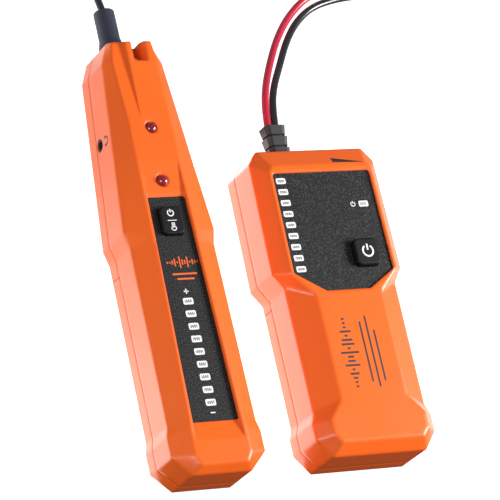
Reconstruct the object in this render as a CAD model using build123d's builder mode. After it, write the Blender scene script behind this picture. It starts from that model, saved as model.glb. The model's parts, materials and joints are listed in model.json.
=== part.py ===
"""Tone probe kit: a receiver with a bendable probe and a transmitter with two clip leads.

Both units lie on their backs on one surface, fronts up, side by side along +Y.
Millimetres.  Origin: centre of the receiver's back face.  +Y towards the probe tip,
+X towards the transmitter, +Z out of the fronts.
"""
from build123d import *
import math
import os

os.makedirs("parts", exist_ok=True)

# ---------------------------------------------------------------- driving dimensions
wall = 2.0                  # housing wall
rear_bevel = 3.0            # bevel round the back face
rx_round = 0.8              # radius on the moulded edges
tx_round = 1.6
part_gap = 0.3              # room between pieces that move past each other
fit_gap = 0.1               # room round a piece that is seated in another
reveal = 0.3                # groove along the parting line
parting_z = 10.0            # rear and front housings meet at this height

rx_length = 192.5           # receiver housing
rx_depth = 29.5
rx_side_z = 24.7            # the front bevel starts here
rx_head_half = 21.2
rx_grip_half = 19.6
rx_foot_half = 21.6
rx_nose_half = 10.0
rx_face_half = 9.9          # flat front, at the waist
rx_waist_y = 3.7
rx_door_y = -3.6            # split between the rear housing and the battery door
rx_door_travel = 75.0

tx_x = 74.6                 # transmitter's centre line
tx_top_y = 44.25
tx_length = 138.0           # transmitter housing
tx_depth = 31.0
tx_side_z = 25.0
tx_head_half = 31.2
tx_grip_half = 26.9
tx_foot_half = 28.6
tx_face_half = 15.7
tx_waist_y = -18.3
tx_door_y = -22.5

panel_thick = 0.8
rx_panel_drop = 1.6         # panel below the receiver's front flat
rx_panel_length = 99.2
rx_panel_top_y = 24.3
rx_panel_top_half = 9.0
rx_panel_foot_half = 10.9
tx_panel_drop = 0.8
tx_panel_top_y = 31.7
tx_panel_side_y = -13.9     # where the panel's lower corners are cut off
tx_panel_foot_y = -22.4
tx_panel_top_half = 23.6
tx_panel_side_half = 24.2
tx_panel_foot_half = 10.6

level_count = 9             # windows of the level display
rx_window = (4.7, 2.9)
rx_window_pitch = 5.55
rx_window_top_y = -22.3
tx_window = (4.6, 2.7)
tx_window_pitch = 5.025
tx_window_top_y = 28.25
tx_window_x = tx_x - 19.9
power_window_x = tx_x + 17.4
power_window_y = 16.35

button_travel = 0.8
button_round = 2.2
rx_button = (10.2, 12.3)
rx_button_y = 13.2
rx_button_proud = 2.1
tx_button = (11.2, 11.8)
tx_button_x = tx_x + 12.1
tx_button_y = -6.4
tx_button_proud = 3.0
button_lip = 1.2            # skirt of the button under the housing
button_skirt = 0.8
button_post_d = 3.0

board_thick = 1.6
board_below_face = 7.2      # board's top face below the front flat
switch_side = 6.0
switch_well = 0.9
led_d = 5.0
led_flange_d = 5.8
led_proud = 1.3
led_dome = 2.2
torch_reach = 4.0
chip_led = (3.2, 1.6, 1.1)
board_edge = 0.6            # room between a board and the housing
notch_board_half = 7.0
signal_led_y = 55.35
power_led_y = 31.35

jack_y = 54.5
jack_z = 13.3
jack_bore_d = 3.6
jack_bore_length = 11.0
jack_collar_d = 5.6
jack_inset = 0.4
jack_body = (11.0, 7.6, 3.2)
wheel_thick = 3.0
wheel_proud = 1.4
wheel_shaft_d = 3.0
wheel_bore_gap = 0.05
wheel_notches = 36
wheel_notch_r = 0.4
rx_wheel_d = 15.0
rx_wheel_y = 38.0
rx_wheel_z = 13.0
tx_wheel_d = 16.0
tx_wheel_x = tx_x + 14.0
tx_wheel_z = 14.0
pot_d = 7.0

battery = (26.5, 48.5, 17.5)
terminal_d = 5.8
terminal_pitch = 12.7
terminal_height = 2.6
snap_thick = 3.8
wire_d = 1.4
tray_wall = 1.4
tray_foot_z = 7.0
boss_d = 6.2
screw_d = 2.6
screw_head_d = 4.8
screw_head = 1.8
screw_bite = 8.0            # thread in the front housing
foot_screw_bite = 3.6
head_recess_d = 5.4
speaker_d = 20.0
speaker_thick = 4.5
speaker_y = 36.0

notch_width = 6.5           # torch pocket in the receiver's nose
notch_left_x = -0.9
notch_length = 10.0
notch_floor_z = 19.0

probe_x = -1.8
probe_z = 13.0
boot_flange_d = 8.6
boot_flare_length = 8.6
neck_seat = 6.0             # length of neck inside the boot
boot_bore_wall_d = 7.0
boot_flare_d = 11.8
boot_d = 9.2
boot_top_d = 8.8
boot_length = 18.8
neck_d = 3.1
neck_socket_gap = 0.05
neck_cup_start = 1.25       # from a bend's centre to where the next length of neck begins
tip_d = 7.0
tip_length = 24.0

lead_d = 3.2
relief_x = tx_x - 9.2
relief_z = 14.5
relief_length = 16.0
relief_width = 10.2
relief_height = 8.6
relief_groove = 1.6         # neck of the strain relief in the housing's wall
relief_ribs = 3
relief_rib = 4.0
relief_pitch = 5.2
relief_round = 1.8
lead_spacing = 3.5
red_coil_radius = 17.5      # both leads come to the same length with these two
black_coil_radius = 15.0
coil_section = (6.4, 6.0)
tail_z = 2.2

jaw_length = 24.0           # alligator clips
handle_length = 20.0
jaw_half = 3.2
sheet = 0.6
jaw_gap = 0.1
grip_wall = 0.9
pin_d = 1.8
pin_running_gap = 0.05
spring_r = 1.5
spring_wire = 0.6


def save(builder, name):
    builder.part.label = name
    export_step(builder.part, f"parts/{name}.step")


def both_sides(right, centre=0.0):
    """Closed outline from the points of its right half, given as (half width, y)."""
    return [(centre + x, y) for x, y in right] + [(centre - x, y) for x, y in reversed(right)]


def across(x, y, z):
    """Plane that faces +Y, for round pieces that point along the units."""
    return Plane(origin=(x, y, z), x_dir=(1, 0, 0), z_dir=(0, 1, 0))


# ---------------------------------------------------------------- housing shapes
rx_nose_y = rx_length / 2
rx_foot_y = -rx_length / 2
tx_foot_y = tx_top_y - tx_length

rx_side = [
    (rx_nose_half, rx_nose_y),
    (rx_nose_half + 4.2, rx_nose_y - 9.5),
    (rx_head_half, rx_waist_y + 6.5),
    (rx_grip_half, rx_waist_y),
    (rx_grip_half + 0.8, rx_foot_y + 21.5),
    (rx_foot_half, rx_foot_y + 17.0),
    (rx_foot_half, rx_foot_y + 8.0),
    (rx_foot_half - 8.1, rx_foot_y),
]
rx_face = [
    (rx_nose_half - 1.4, rx_nose_y - 1.2),
    (rx_face_half - 0.3, rx_nose_y - 10.0),
    (rx_face_half + 0.4, rx_waist_y + 5.0),
    (rx_face_half - 0.1, rx_waist_y - 1.0),
    (rx_face_half + 2.1, rx_foot_y + 24.0),
    (rx_face_half + 2.6, rx_foot_y + 18.5),
    (rx_face_half + 2.9, rx_foot_y + 7.0),
    (rx_face_half + 0.8, rx_foot_y + 3.0),
]
tx_side = [
    (tx_head_half - 5.6, tx_top_y),
    (tx_head_half - 0.9, tx_top_y - 6.0),
    (tx_head_half, tx_waist_y + 6.5),
    (tx_grip_half, tx_waist_y),
    (tx_grip_half, tx_foot_y + 20.0),
    (tx_foot_half, tx_foot_y + 15.5),
    (tx_foot_half, tx_foot_y + 8.0),
    (tx_foot_half - 6.2, tx_foot_y),
]
tx_face = [
    (tx_panel_top_half - 0.8, tx_top_y - 9.4),
    (tx_panel_top_half + 1.2, tx_top_y - 12.0),
    (tx_panel_side_half + 1.2, tx_panel_side_y - 0.4),
    (tx_face_half, tx_panel_foot_y - 2.0),
    (tx_face_half, tx_foot_y + 23.0),
    (tx_foot_half - 6.0, tx_foot_y + 15.0),
    (tx_foot_half - 6.0, tx_foot_y + 8.0),
    (tx_foot_half - 9.2, tx_foot_y + 4.6),
]


def inward(outline, amount):
    """The outline's right half moved in by an amount, its ends by the same amount."""
    top = max(y for _, y in outline)
    foot = min(y for _, y in outline)
    middle = (top + foot) / 2
    half_span = (top - foot) / 2
    return [(x - amount, middle + (y - middle) * (1 - amount / half_span)) for x, y in outline]


def block(side, face, levels, centre=0.0):
    """Solid through four outlines: back face, foot of the side, top of the side, front face."""
    back_z, foot_z, side_z, face_z, back_inset = levels
    outlines = [
        (back_z, inward(side, back_inset)),
        (foot_z, side),
        (side_z, side),
        (face_z, face),
    ]
    with BuildPart() as body:
        for z, right in outlines:
            with BuildSketch(Plane.XY.offset(z)):
                with BuildLine():
                    Polyline(*both_sides(right, centre), close=True)
                make_face()
        loft(ruled=True)
    return body.part


def housing(side, face, side_z, depth, face_wall, rounding, centre=0.0):
    """Outer block with rounded edges, and the hollow inside it."""
    outer = block(side, face, (0, rear_bevel, side_z, depth, rear_bevel), centre)
    front_edges = [edge for edge in outer.edges() if edge.center().Z > rear_bevel + 0.1]
    outer = fillet(front_edges, rounding)
    inner_levels = (wall, rear_bevel + 0.8, side_z - wall * 0.6, depth - face_wall, rear_bevel - 0.6)
    hollow = block(inward(side, wall), inward(face, 0.6), inner_levels, centre)
    return outer, hollow


rx_panel_z = rx_depth - rx_panel_drop
tx_panel_z = tx_depth - tx_panel_drop
rx_inner_z = rx_panel_z - panel_thick - wall
tx_inner_z = tx_panel_z - panel_thick - wall
rx_outer, rx_hollow = housing(
    rx_side, rx_face, rx_side_z, rx_depth, rx_depth - rx_inner_z, rx_round
)
tx_outer, tx_hollow = housing(
    tx_side, tx_face, tx_side_z, tx_depth, tx_depth - tx_inner_z, tx_round, tx_x
)


# ---------------------------------------------------------------- panel outlines
rx_panel_foot_y = rx_panel_top_y - rx_panel_length
rx_panel = [(rx_panel_top_half, rx_panel_top_y), (rx_panel_foot_half, rx_panel_foot_y)]
tx_panel = [
    (tx_panel_top_half, tx_panel_top_y),
    (tx_panel_side_half, tx_panel_side_y),
    (tx_panel_foot_half, tx_panel_foot_y),
]
rx_window_y = [rx_window_top_y - n * rx_window_pitch for n in range(level_count)]
tx_window_y = [tx_window_top_y - n * tx_window_pitch for n in range(level_count)]
window_round = 0.7


def slab(outline, z, thick, rounding, centre=0.0):
    """Flat plate with rounded corners, its top face at z."""
    with BuildPart() as plate:
        with BuildSketch(Plane.XY.offset(z)):
            with BuildLine():
                Polyline(*both_sides(outline, centre), close=True)
            make_face()
        extrude(amount=-thick)
        fillet(plate.edges().filter_by(Axis.Z), rounding)
    return plate.part


def pads(places, size, rounding, z, thick):
    """Equal rounded rectangles standing on z."""
    with BuildPart() as group:
        with BuildSketch(Plane.XY.offset(z)):
            with Locations(*places):
                RectangleRounded(size[0], size[1], rounding)
        extrude(amount=thick)
    return group.part


def rods(places, d, z, height):
    """Equal round bars standing on z."""
    with BuildPart() as group:
        with BuildSketch(Plane.XY.offset(z)):
            with Locations(*places):
                Circle(d / 2)
        extrude(amount=height)
    return group.part


def box_at(low, high):
    """Plain box between two corners."""
    middle = [(a + b) / 2 for a, b in zip(low, high)]
    with BuildPart() as block_piece:
        with Locations(tuple(middle)):
            Box(*[b - a for a, b in zip(low, high)])
    return block_piece.part


# recess over the receiver's panel: the flat ramps down to it from the power lamp
with BuildPart() as rx_recess:
    with BuildSketch(Plane.YZ):
        with BuildLine():
            Polyline(
                (rx_panel_top_y + 16.0, rx_depth + 1),
                (rx_panel_top_y + 16.0, rx_depth),
                (rx_panel_top_y + 1.2, rx_panel_z + 0.5),
                (rx_panel_top_y, rx_panel_z),
                (rx_panel_foot_y - 1.0, rx_panel_z),
                (rx_panel_foot_y - 8.0, rx_depth),
                (rx_panel_foot_y - 8.0, rx_depth + 1),
                close=True,
            )
        make_face()
    extrude(amount=rx_head_half, both=True)
    with BuildSketch(Plane.XY):
        with BuildLine():
            Polyline(
                *both_sides(
                    [
                        (rx_panel_top_half - 0.2, rx_panel_top_y + 16.5),
                        (rx_panel_top_half, rx_panel_top_y),
                        (rx_panel_foot_half, rx_panel_foot_y),
                        (rx_panel_foot_half + 0.4, rx_panel_foot_y - 8.5),
                    ]
                ),
                close=True,
            )
        make_face()
    extrude(amount=rx_depth + 1, mode=Mode.INTERSECT)

rx_plate = slab(rx_panel, rx_panel_z, panel_thick, 1.0)
tx_plate = slab(tx_panel, tx_panel_z, panel_thick, 1.6, tx_x)
tx_recess = slab(tx_panel, tx_depth + 1, tx_panel_drop + 1, 1.6, tx_x)

# ---------------------------------------------------------------- places inside
battery_z = wall + part_gap
tray_plate = 0.8
tray_z = battery_z + battery[2] + 0.05      # underside of the tray's plate
rx_board_z = max(rx_depth - board_below_face - board_thick, tray_z + tray_plate + 0.05)
tx_board_z = tx_depth - board_below_face - board_thick
rx_boss = [(x, y) for y in (rx_nose_y - 24.0, rx_waist_y + 9.0) for x in (-9.0, 9.0)]
rx_boss = [(math.copysign(9.5 if y > rx_waist_y + 20 else 14.6, x), y) for x, y in rx_boss]
tx_boss = [(tx_x + x, y) for y in (tx_top_y - 13.0, tx_waist_y + 12.0) for x in (-25.0, 25.0)]
rx_foot_boss = [(x, rx_foot_y + 9.5) for x in (-11.0, 11.0)]
tx_foot_boss = [(tx_x + x, tx_foot_y + 8.5) for x in (-14.0, 14.0)]

rx_battery_y = rx_door_y - 8.5 - battery[1] / 2
tx_battery_y = tx_door_y - 9.5 - battery[1] / 2
wheel_slot = part_gap + 0.2


def side_x(side, y):
    """Half width of a housing's side at y."""
    for (x0, y0), (x1, y1) in zip(side, side[1:]):
        if y1 <= y <= y0:
            return x0 + (x1 - x0) * (y0 - y) / (y0 - y1)
    raise ValueError("outside the housing")


rx_wheel_x = side_x(rx_side, rx_wheel_y) + wheel_proud - rx_wheel_d / 2
tx_wheel_y = tx_top_y + wheel_proud - tx_wheel_d / 2
jack_x = -side_x(rx_side, jack_y)

rx_board_top = rx_board_z + board_thick
tx_board_top = tx_board_z + board_thick
foot_boss_z = tray_z + tray_plate
head_floor = wall + 1.6                     # screw heads sit on this level


def parting_groove(side, centre=0.0):
    """Ring cut out round the housing at the parting line."""
    with BuildPart() as ring:
        with BuildSketch(Plane.XY.offset(parting_z - reveal / 2)):
            with BuildLine():
                Polyline(*both_sides(inward(side, -2.0), centre), close=True)
            make_face()
            with BuildLine():
                Polyline(*both_sides(inward(side, reveal), centre), close=True)
            make_face(mode=Mode.SUBTRACT)
        extrude(amount=reveal)
    return ring.part


def case_blank(outer, hollow, side, bosses, foot_bosses, centre=0.0):
    """Whole hollow housing with its screw bosses, before it is split and pierced."""
    groove = parting_groove(side, centre)
    posts = hollow & rods(bosses, boss_d, wall, 40)
    foot_posts = hollow & rods(foot_bosses, boss_d, foot_boss_z, 40)
    head_holes = rods(bosses, head_recess_d, -1, head_floor + 1)
    screw_holes = rods(bosses, screw_d, 0, parting_z + screw_bite)
    foot_holes = rods(foot_bosses, screw_d, foot_boss_z, foot_screw_bite)
    with BuildPart() as blank:
        add(outer)
        add(hollow, mode=Mode.SUBTRACT)
        add(groove, mode=Mode.SUBTRACT)
        add(posts)
        add(foot_posts)
        add(head_holes, mode=Mode.SUBTRACT)
        add(screw_holes, mode=Mode.SUBTRACT)
        add(foot_holes, mode=Mode.SUBTRACT)
    return blank.part


def half(case, keep, low_y=None, high_y=None):
    """One side of the parting plane, and of the battery door's split."""
    with BuildPart() as piece:
        add(case)
        split(bisect_by=Plane.XY.offset(parting_z), keep=keep)
        if low_y is not None:
            split(bisect_by=Plane.XZ.offset(-low_y), keep=Keep.BOTTOM)
        if high_y is not None:
            split(bisect_by=Plane.XZ.offset(-high_y), keep=Keep.TOP)
    return piece.part


# ---------------------------------------------------------------- receiver housings
leds = [(0.0, signal_led_y), (0.0, power_led_y)]
notch_wall = 1.5
notch_back_y = rx_nose_y - notch_length
notch_right_x = notch_left_x + notch_width
torch_x = notch_left_x + notch_width / 2
torch_z = notch_floor_z + led_d / 2 + 0.4
strip_length = 37.0         # low strip beside the torch hood
strip_drop = 1.7
speaker_pitch = 3.2
speaker_hole_d = 1.6
speaker_holes = [
    (speaker_pitch * i, speaker_y + speaker_pitch * j)
    for i in range(-2, 3)
    for j in range(-2, 3)
    if i * i + j * j < 6
]

rx_blank = case_blank(rx_outer, rx_hollow, rx_side, rx_boss, rx_foot_boss)
pocket_walls = rx_hollow & box_at(
    (notch_left_x - notch_wall, notch_back_y - notch_wall, notch_floor_z - notch_wall),
    (notch_right_x + notch_wall, rx_nose_y, rx_depth),
)
pocket = box_at(
    (notch_left_x, notch_back_y, notch_floor_z), (notch_right_x, rx_nose_y + 1, rx_depth + 1)
)
led_holes = rods(leds, led_d + 2 * fit_gap, rx_inner_z - 1, 10)
rx_window_holes = pads([(0, y) for y in rx_window_y], rx_window, window_round, rx_inner_z - 1, 5)
rx_button_hole = pads(
    [(0, rx_button_y)], [d + 2 * part_gap for d in rx_button], button_round, rx_inner_z - 1, 5
)
rx_wheel_slot = rods(
    [(rx_wheel_x, rx_wheel_y)],
    rx_wheel_d + 2 * wheel_slot,
    rx_wheel_z - wheel_slot,
    wheel_thick + 2 * wheel_slot,
)
grille_holes = rods(speaker_holes, speaker_hole_d, -1, wall + 2)

with BuildPart() as rx_case:
    add(rx_blank)
    add(rx_recess.part, mode=Mode.SUBTRACT)
    with BuildSketch(Plane.YZ.offset(-rx_head_half)):
        with BuildLine():
            Polyline(
                (rx_nose_y - strip_length, rx_depth),
                (rx_nose_y + 1, rx_depth),
                (rx_nose_y + 1, rx_depth - strip_drop),
                close=True,
            )
        make_face()
    extrude(amount=rx_head_half + notch_left_x - 2.9, mode=Mode.SUBTRACT)
    add(pocket_walls)
    add(pocket, mode=Mode.SUBTRACT)
    with BuildSketch(across(torch_x, notch_back_y - notch_wall - 1, torch_z)):
        Circle(led_d / 2 + fit_gap)
    extrude(amount=notch_wall + 2, mode=Mode.SUBTRACT)
    with BuildSketch(across(probe_x, rx_nose_y - wall - 2, probe_z)):
        Circle(boot_bore_wall_d / 2)
    extrude(amount=wall + 4, mode=Mode.SUBTRACT)
    with BuildSketch(Plane(origin=(jack_x - 1, jack_y, jack_z), x_dir=(0, 1, 0), z_dir=(1, 0, 0))):
        Circle(jack_collar_d / 2)
    extrude(amount=wall + 3, mode=Mode.SUBTRACT)
    for tool in (led_holes, rx_window_holes, rx_button_hole, rx_wheel_slot, grille_holes):
        add(tool, mode=Mode.SUBTRACT)

with BuildPart() as receiver_front_shell:
    add(half(rx_case.part, Keep.TOP))
    add(rx_plate, mode=Mode.SUBTRACT)
save(receiver_front_shell, "receiver_front_shell")

with BuildPart() as receiver_rear_shell:
    add(half(rx_case.part, Keep.BOTTOM, low_y=rx_door_y + part_gap / 2))
save(receiver_rear_shell, "receiver_rear_shell")

with BuildPart() as receiver_battery_door:
    add(half(rx_case.part, Keep.BOTTOM, high_y=rx_door_y - part_gap / 2))
save(receiver_battery_door, "receiver_battery_door")

# ---------------------------------------------------------------- transmitter housings
tx_blank = case_blank(tx_outer, tx_hollow, tx_side, tx_boss, tx_foot_boss, tx_x)
tx_windows = [(tx_window_x, y) for y in tx_window_y] + [(power_window_x, power_window_y)]
tx_window_holes = pads(tx_windows, tx_window, window_round, tx_inner_z - 1, 6)
tx_button_hole = pads(
    [(tx_button_x, tx_button_y)],
    [d + 2 * part_gap for d in tx_button],
    button_round,
    tx_inner_z - 1,
    6,
)
tx_wheel_slot = rods(
    [(tx_wheel_x, tx_wheel_y)],
    tx_wheel_d + 2 * wheel_slot,
    tx_wheel_z - wheel_slot,
    wheel_thick + 2 * wheel_slot,
)
relief_hole = [d - 2 * relief_groove for d in (relief_width, relief_height)]

with BuildPart() as tx_case:
    add(tx_blank)
    add(tx_recess, mode=Mode.SUBTRACT)
    for tool in (tx_window_holes, tx_button_hole, tx_wheel_slot):
        add(tool, mode=Mode.SUBTRACT)
    with BuildSketch(across(relief_x, tx_top_y - wall - 2, relief_z)):
        RectangleRounded(*relief_hole, relief_round)
    extrude(amount=wall + 4, mode=Mode.SUBTRACT)

with BuildPart() as transmitter_front_shell:
    add(half(tx_case.part, Keep.TOP))
    add(tx_plate, mode=Mode.SUBTRACT)
save(transmitter_front_shell, "transmitter_front_shell")

with BuildPart() as transmitter_rear_shell:
    add(half(tx_case.part, Keep.BOTTOM, low_y=tx_door_y + part_gap / 2))
save(transmitter_rear_shell, "transmitter_rear_shell")

with BuildPart() as transmitter_battery_door:
    add(half(tx_case.part, Keep.BOTTOM, high_y=tx_door_y - part_gap / 2))
save(transmitter_battery_door, "transmitter_battery_door")

# ---------------------------------------------------------------- panels and windows
with BuildPart() as receiver_panel:
    add(rx_plate)
    add(rx_window_holes, mode=Mode.SUBTRACT)
    add(rx_button_hole, mode=Mode.SUBTRACT)
save(receiver_panel, "receiver_panel")

with BuildPart() as transmitter_panel:
    add(tx_plate)
    add(tx_window_holes, mode=Mode.SUBTRACT)
    add(tx_button_hole, mode=Mode.SUBTRACT)
save(transmitter_panel, "transmitter_panel")

window_size = {
    "receiver_level_windows": (
        [(0, y) for y in rx_window_y], rx_window, rx_inner_z, rx_panel_z
    ),
    "transmitter_level_windows": (tx_windows[:-1], tx_window, tx_inner_z, tx_panel_z),
    "transmitter_power_window": (tx_windows[-1:], tx_window, tx_inner_z, tx_panel_z),
}
for name, (places, size, low_z, face_z) in window_size.items():
    with BuildPart() as windows:
        with BuildSketch(Plane.XY.offset(low_z)):
            with Locations(*places):
                RectangleRounded(size[0], size[1], window_round)
        extrude(amount=face_z - low_z)
    save(windows, name)

# ---------------------------------------------------------------- buttons and switches
def push_button(place, size, inner_z, face_z, proud):
    """Moulded key: cap, skirt under the housing, and the post that presses the switch."""
    skirt_top = inner_z - 0.05
    post_foot = skirt_top - button_skirt - button_travel
    with BuildPart() as key:
        with BuildSketch(Plane.XY.offset(skirt_top)):
            with Locations(place):
                RectangleRounded(size[0], size[1], button_round)
        extrude(amount=face_z + proud - skirt_top)
        chamfer(key.faces().sort_by(Axis.Z)[-1].edges(), 0.5)
        with BuildSketch(Plane.XY.offset(skirt_top - button_skirt)):
            with Locations(place):
                Rectangle(size[0] + 2 * button_lip, size[1] + 2 * button_lip)
        extrude(amount=button_skirt)
        with BuildSketch(Plane.XY.offset(post_foot)):
            with Locations(place):
                Circle(button_post_d / 2)
        extrude(amount=button_travel)
    return key


def tact_switch(place, inner_z, board_top):
    """Square switch whose well takes the button's post."""
    top = inner_z - 0.05 - button_skirt - button_travel
    with BuildPart() as switch:
        with BuildSketch(Plane.XY.offset(board_top)):
            with Locations(place):
                Rectangle(switch_side, switch_side)
        extrude(amount=top - board_top)
        with Locations((place[0], place[1], top)):
            Hole(button_post_d / 2 + fit_gap, depth=switch_well)
    return switch


rx_key = (0.0, rx_button_y)
tx_key = (tx_button_x, tx_button_y)
save(push_button(rx_key, rx_button, rx_inner_z, rx_panel_z, rx_button_proud), "receiver_button")
save(push_button(tx_key, tx_button, tx_inner_z, tx_panel_z, tx_button_proud), "transmitter_button")
save(tact_switch(rx_key, rx_inner_z, rx_board_top), "receiver_button_switch")
save(tact_switch(tx_key, tx_inner_z, tx_board_top), "transmitter_button_switch")

# ---------------------------------------------------------------- lamps
for name, place in zip(("receiver_signal_led", "receiver_power_led"), leds):
    with BuildPart() as lamp:
        with BuildSketch(Plane.XY.offset(rx_board_top)):
            with Locations(place):
                Circle(led_flange_d / 2)
        extrude(amount=1.0)
        with BuildSketch(Plane.XY.offset(rx_board_top)):
            with Locations(place):
                Circle(led_d / 2)
        extrude(amount=rx_depth + led_proud - rx_board_top)
        fillet(lamp.faces().sort_by(Axis.Z)[-1].edges(), led_dome)
    save(lamp, name)

with BuildPart() as receiver_torch_led:
    with BuildSketch(across(torch_x, notch_back_y - notch_wall - 1.0, torch_z)):
        Circle(led_flange_d / 2)
    extrude(amount=1.0)
    with BuildSketch(across(torch_x, notch_back_y - notch_wall, torch_z)):
        Circle(led_d / 2)
    extrude(amount=notch_wall + torch_reach)
    fillet(receiver_torch_led.faces().sort_by(Axis.Y)[-1].edges(), led_dome)
save(receiver_torch_led, "receiver_torch_led")

chip_groups = {
    "receiver_level_leds": ([(0, y) for y in rx_window_y], rx_board_top),
    "transmitter_level_leds": (tx_windows, tx_board_top),
}
for name, (places, low_z) in chip_groups.items():
    with BuildPart() as chips:
        with BuildSketch(Plane.XY.offset(low_z)):
            with Locations(*places):
                Rectangle(chip_led[0], chip_led[1])
        extrude(amount=chip_led[2])
    save(chips, name)

# ---------------------------------------------------------------- circuit boards
rx_board_outline = inward(rx_side, wall + board_edge)[1:6]
rx_board_outline = [(x, y) for x, y in rx_board_outline if y > rx_foot_boss[0][1] + boss_d]
rx_board_outline[0] = (notch_board_half, notch_back_y - notch_wall - 2.0)
rx_board_outline.append((rx_board_outline[-1][0], rx_foot_boss[0][1] + boss_d))
tx_board_outline = inward(tx_side, wall + board_edge)[:4]
tx_board_outline.append((tx_board_outline[-1][0], tx_waist_y - 11.0))
boards = {
    "receiver_circuit_board": (rx_board_outline, rx_board_top, rx_boss, 0.0),
    "transmitter_circuit_board": (tx_board_outline, tx_board_top, tx_boss, tx_x),
}
for name, (outline, top, posts, centre) in boards.items():
    plate = slab(outline, top, board_thick, 1.0, centre)
    clearances = rods(posts, boss_d + 2 * part_gap, top - board_thick - 1, board_thick + 2)
    with BuildPart() as board:
        add(plate)
        add(clearances, mode=Mode.SUBTRACT)
    save(board, name)

# ---------------------------------------------------------------- earphone socket
with BuildPart() as receiver_earphone_jack:
    with BuildSketch(Plane(origin=(jack_x + jack_inset, jack_y, jack_z), x_dir=(0, 1, 0), z_dir=(1, 0, 0))):
        Circle(jack_collar_d / 2)
    extrude(amount=wall + 1.0)
    with BuildSketch(Plane.XY.offset(jack_z - jack_body[2])):
        with Locations((jack_x + wall + 0.7 + jack_body[0] / 2, jack_y)):
            Rectangle(jack_body[0], jack_body[1])
    extrude(amount=rx_board_z - jack_z + jack_body[2])
    with BuildSketch(Plane(origin=(jack_x + jack_inset, jack_y, jack_z), x_dir=(0, 1, 0), z_dir=(1, 0, 0))):
        Circle(jack_bore_d / 2)
    extrude(amount=jack_bore_length, mode=Mode.SUBTRACT)
save(receiver_earphone_jack, "receiver_earphone_jack")

# ---------------------------------------------------------------- thumb wheels and their pots
wheels = {
    "receiver_sensitivity": (rx_wheel_x, rx_wheel_y, rx_wheel_z, rx_wheel_d, rx_board_z),
    "transmitter_level": (tx_wheel_x, tx_wheel_y, tx_wheel_z, tx_wheel_d, tx_board_z),
}
for name, (x, y, z, d, board_z) in wheels.items():
    with BuildPart() as wheel:
        with BuildSketch(Plane.XY.offset(z)):
            with Locations((x, y)):
                Circle(d / 2)
                Circle(wheel_shaft_d / 2 + wheel_bore_gap, mode=Mode.SUBTRACT)
                with PolarLocations(d / 2 + 0.1, wheel_notches):
                    Circle(wheel_notch_r, mode=Mode.SUBTRACT)
        extrude(amount=wheel_thick)
    save(wheel, name + "_wheel")
    with BuildPart() as pot:
        with BuildSketch(Plane.XY.offset(z + wheel_thick + part_gap)):
            with Locations((x, y)):
                Circle(pot_d / 2)
        extrude(amount=board_z - z - wheel_thick - part_gap)
        with BuildSketch(Plane.XY.offset(z - 0.5)):
            with Locations((x, y)):
                Circle(wheel_shaft_d / 2)
        extrude(amount=wheel_thick + part_gap + 1.0)
    save(pot, name + "_pot")

with BuildPart() as receiver_speaker:
    with BuildSketch(Plane.XY.offset(wall)):
        with Locations((0, speaker_y)):
            Circle(speaker_d / 2)
    extrude(amount=speaker_thick / 2)
    with BuildSketch(Plane.XY.offset(wall + speaker_thick / 2)):
        with Locations((0, speaker_y)):
            Circle(speaker_d * 0.3)
    extrude(amount=speaker_thick / 2)
save(receiver_speaker, "receiver_speaker")

# ---------------------------------------------------------------- battery, its snap and its tray
terminal_z = battery_z + battery[2] / 2
units = {
    "receiver": (0.0, rx_battery_y, rx_foot_boss, rx_board_z),
    "transmitter": (tx_x, tx_battery_y, tx_foot_boss, tx_board_z),
}
for name, (x, y, foot_bosses, board_z) in units.items():
    top_y = y + battery[1] / 2
    with BuildPart() as cell:
        with Locations((x, y, battery_z + battery[2] / 2)):
            Box(*battery)
        fillet(cell.edges().filter_by(Axis.Y), 1.6)
        for side, d in ((-1, terminal_d), (1, terminal_d + 2.0)):
            with BuildSketch(across(x + side * terminal_pitch / 2, top_y, terminal_z)):
                Circle(d / 2)
            extrude(amount=terminal_height)
    save(cell, f"{name}_battery")

    snap_y = top_y + terminal_height
    with BuildPart() as snap:
        with Locations((x, snap_y + snap_thick / 2, terminal_z)):
            Box(battery[0] - 1.5, snap_thick, battery[2] - 2.0)
        fillet(snap.edges().filter_by(Axis.Y), 2.0)
        with BuildSketch(Plane.XY.offset(terminal_z)):
            with Locations(*[(x + side * 3.0, snap_y + snap_thick / 2) for side in (-1, 1)]):
                Circle(wire_d / 2)
        extrude(amount=board_z - terminal_z)
    save(snap, f"{name}_battery_snap")

    boss_y = foot_bosses[0][1]
    tray_half = max(battery[0] / 2 + part_gap + tray_wall, foot_bosses[-1][0] - x + 3.2)
    well_half = battery[0] / 2 + part_gap
    well_low_y = y - battery[1] / 2 - part_gap
    with BuildPart() as tray:
        with Locations((x, (top_y + boss_y - 3.2) / 2, tray_z + tray_plate / 2)):
            Box(2 * tray_half, top_y - boss_y + 3.2, tray_plate)
        with Locations((x, (top_y + well_low_y - tray_wall) / 2, (tray_foot_z + tray_z) / 2)):
            Box(2 * (well_half + tray_wall), top_y - well_low_y + tray_wall, tray_z - tray_foot_z)
        with Locations((x, (top_y + 1 + well_low_y) / 2, (tray_foot_z - 1 + tray_z) / 2)):
            Box(2 * well_half, top_y + 1 - well_low_y, tray_z - tray_foot_z + 1, mode=Mode.SUBTRACT)
        with Locations(*[(bx, by, tray_z + tray_plate) for bx, by in foot_bosses]):
            Hole(screw_d / 2, depth=tray_plate + 1)
    save(tray, f"{name}_battery_tray")

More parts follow.
